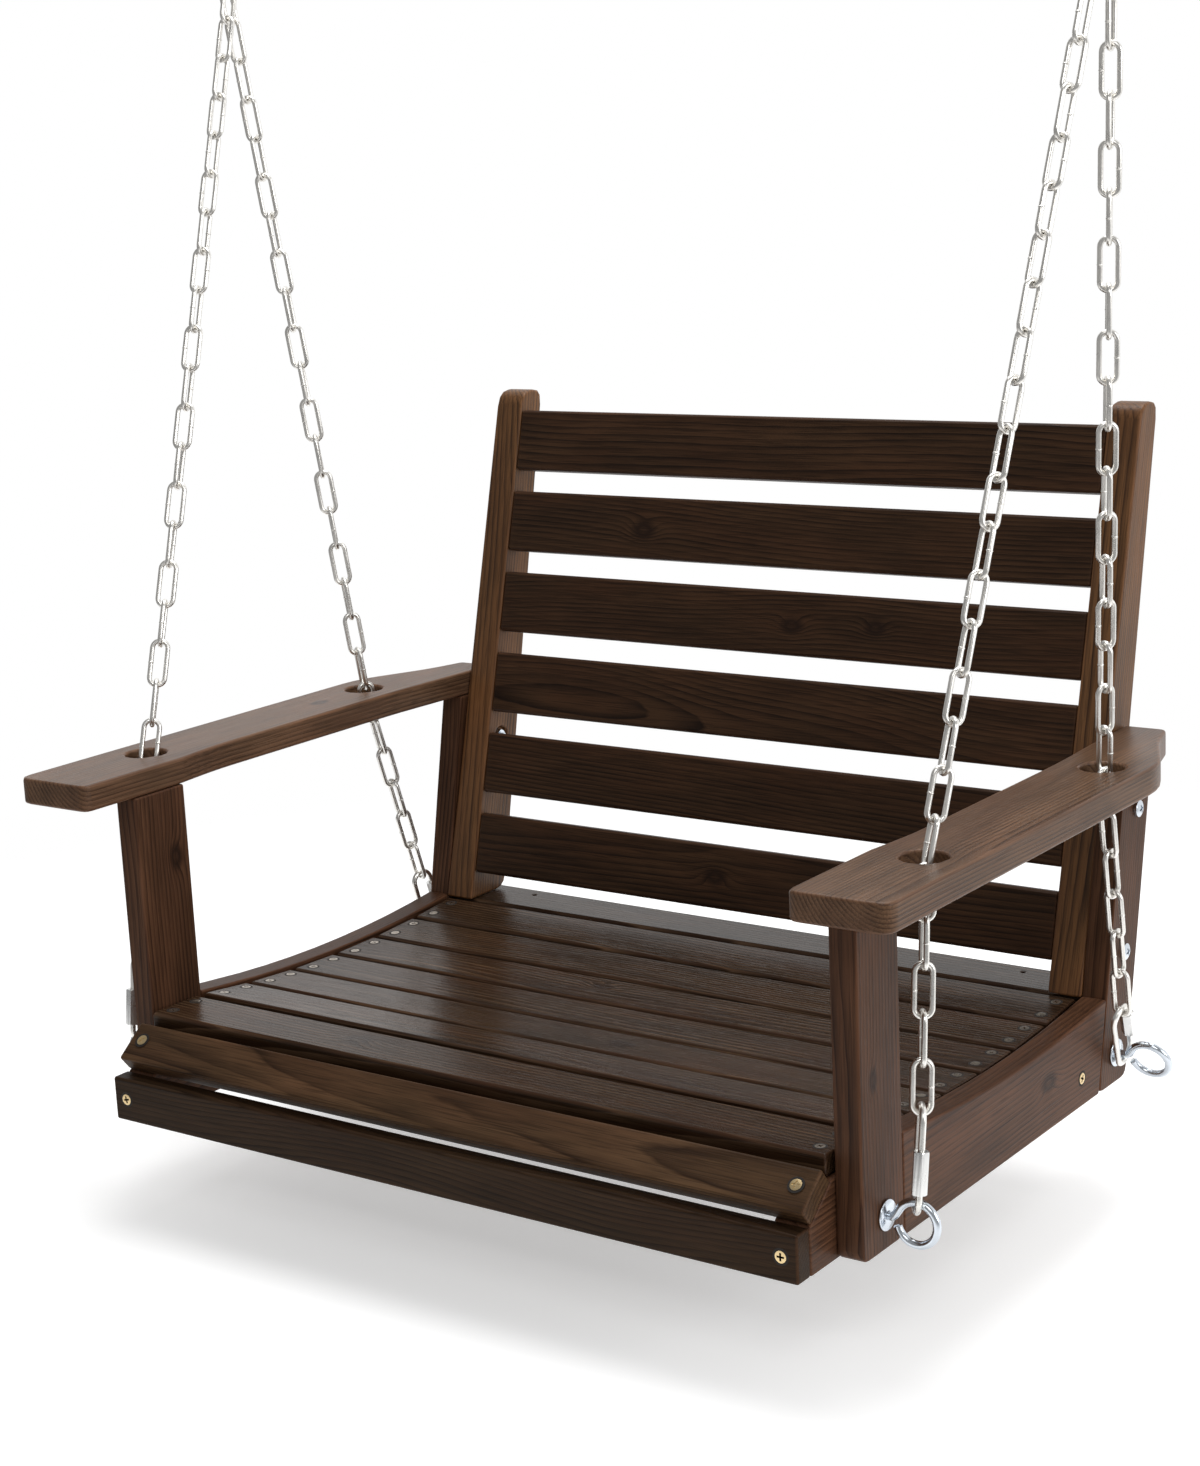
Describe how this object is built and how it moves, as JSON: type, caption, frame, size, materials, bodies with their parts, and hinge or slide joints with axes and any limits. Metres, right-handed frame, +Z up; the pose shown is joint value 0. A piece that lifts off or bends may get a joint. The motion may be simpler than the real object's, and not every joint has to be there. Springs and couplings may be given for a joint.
{
  "type": "porch swing",
  "caption": "Hanging timber porch swing seat with a slatted dipped seat, leaning slatted back, flat armrests and four chains that meet in pairs at two top hangers.",
  "frame": {"origin": "midway between the two hangers, on the axis that the seat swings about", "axes": "+X to the right for someone facing the seat from the front, +Y to the back of the seat, +Z up"},
  "size_m": [0.8204, 0.5706, 0.9491],
  "materials": {
    "frame_wood": "stained, satin",
    "seat_wood": "stained, satin",
    "back_wood": "stained, satin",
    "zinc_steel": "bright zinc plated",
    "bright_steel": "bright zinc plated",
    "screw_steel": "yellow zinc plated"
  },
  "bodies": {
    "hangers": {"hanger_left": "bright_steel", "hanger_right": "bright_steel"},
    "swing": {"apron": "frame_wood", "nose_board": "frame_wood", "inner_rail_left": "frame_wood", "inner_rail_right": "frame_wood", "outer_rail_left": "frame_wood", "outer_rail_right": "frame_wood", "front_post_left": "frame_wood", "front_post_right": "frame_wood", "back_post_left": "frame_wood", "back_post_right": "frame_wood", "upright_left": "frame_wood", "upright_right": "frame_wood", "armrest_left": "frame_wood", "armrest_right": "frame_wood", "seat_slat_1": "seat_wood", "seat_slat_2": "seat_wood", "seat_slat_3": "seat_wood", "seat_slat_4": "seat_wood", "seat_slat_5": "seat_wood", "seat_slat_6": "seat_wood", "seat_slat_7": "seat_wood", "rear_slat": "seat_wood", "back_slat_1": "back_wood", "back_slat_2": "back_wood", "back_slat_3": "back_wood", "back_slat_4": "back_wood", "back_slat_5": "back_wood", "back_slat_6": "back_wood", "backrest_bolt_upper_left": "zinc_steel", "backrest_bolt_upper_right": "zinc_steel", "backrest_bolt_lower_left": "zinc_steel", "backrest_bolt_lower_right": "zinc_steel", "eye_bolt_front_left": "zinc_steel", "eye_bolt_front_right": "zinc_steel", "eye_bolt_rear_left": "zinc_steel", "eye_bolt_rear_right": "zinc_steel", "washer_front_left": "zinc_steel", "washer_front_right": "zinc_steel", "washer_rear_left": "zinc_steel", "washer_rear_right": "zinc_steel", "eye_nut_front_left": "zinc_steel", "eye_nut_front_right": "zinc_steel", "eye_nut_rear_left": "zinc_steel", "eye_nut_rear_right": "zinc_steel", "quick_link_front_left": "bright_steel", "quick_link_front_right": "bright_steel", "quick_link_rear_left": "bright_steel", "quick_link_rear_right": "bright_steel", "chain_front_left": "bright_steel", "chain_front_right": "bright_steel", "chain_rear_left": "bright_steel", "chain_rear_right": "bright_steel"},
    "sleeve_front_left_body": {"sleeve_front_left": "bright_steel"},
    "sleeve_front_right_body": {"sleeve_front_right": "bright_steel"},
    "sleeve_rear_left_body": {"sleeve_rear_left": "bright_steel"},
    "sleeve_rear_right_body": {"sleeve_rear_right": "bright_steel"},
    "hanger_sleeve_left_body": {"hanger_sleeve_left": "bright_steel"},
    "hanger_sleeve_right_body": {"hanger_sleeve_right": "bright_steel"}
  },
  "joints": [
    {"name": "swing_joint", "type": "hinge", "parent": "hangers", "child": "swing", "pos_m": [0, 0, 0], "axis": [1, 0, 0], "range_deg": [-30, 30]},
    {"name": "sleeve_front_left_travel", "type": "slide", "parent": "swing", "child": "sleeve_front_left_body", "axis": [-0.01, 0.1302, 0.9914], "range_m": [0, 0.012]},
    {"name": "sleeve_front_right_travel", "type": "slide", "parent": "swing", "child": "sleeve_front_right_body", "axis": [0.01, 0.1302, 0.9914], "range_m": [0, 0.012]},
    {"name": "sleeve_rear_left_travel", "type": "slide", "parent": "swing", "child": "sleeve_rear_left_body", "axis": [0.054, 0.2339, -0.9708], "range_m": [0, 0.012]},
    {"name": "sleeve_rear_right_travel", "type": "slide", "parent": "swing", "child": "sleeve_rear_right_body", "axis": [-0.2151, 0.6274, -0.7484], "range_m": [0, 0.012]},
    {"name": "hanger_sleeve_left_travel", "type": "slide", "parent": "hangers", "child": "hanger_sleeve_left_body", "axis": [0, 0, 1], "range_m": [0, 0.012]},
    {"name": "hanger_sleeve_right_travel", "type": "slide", "parent": "hangers", "child": "hanger_sleeve_right_body", "axis": [0, 0, 1], "range_m": [0, 0.012]}
  ]
}
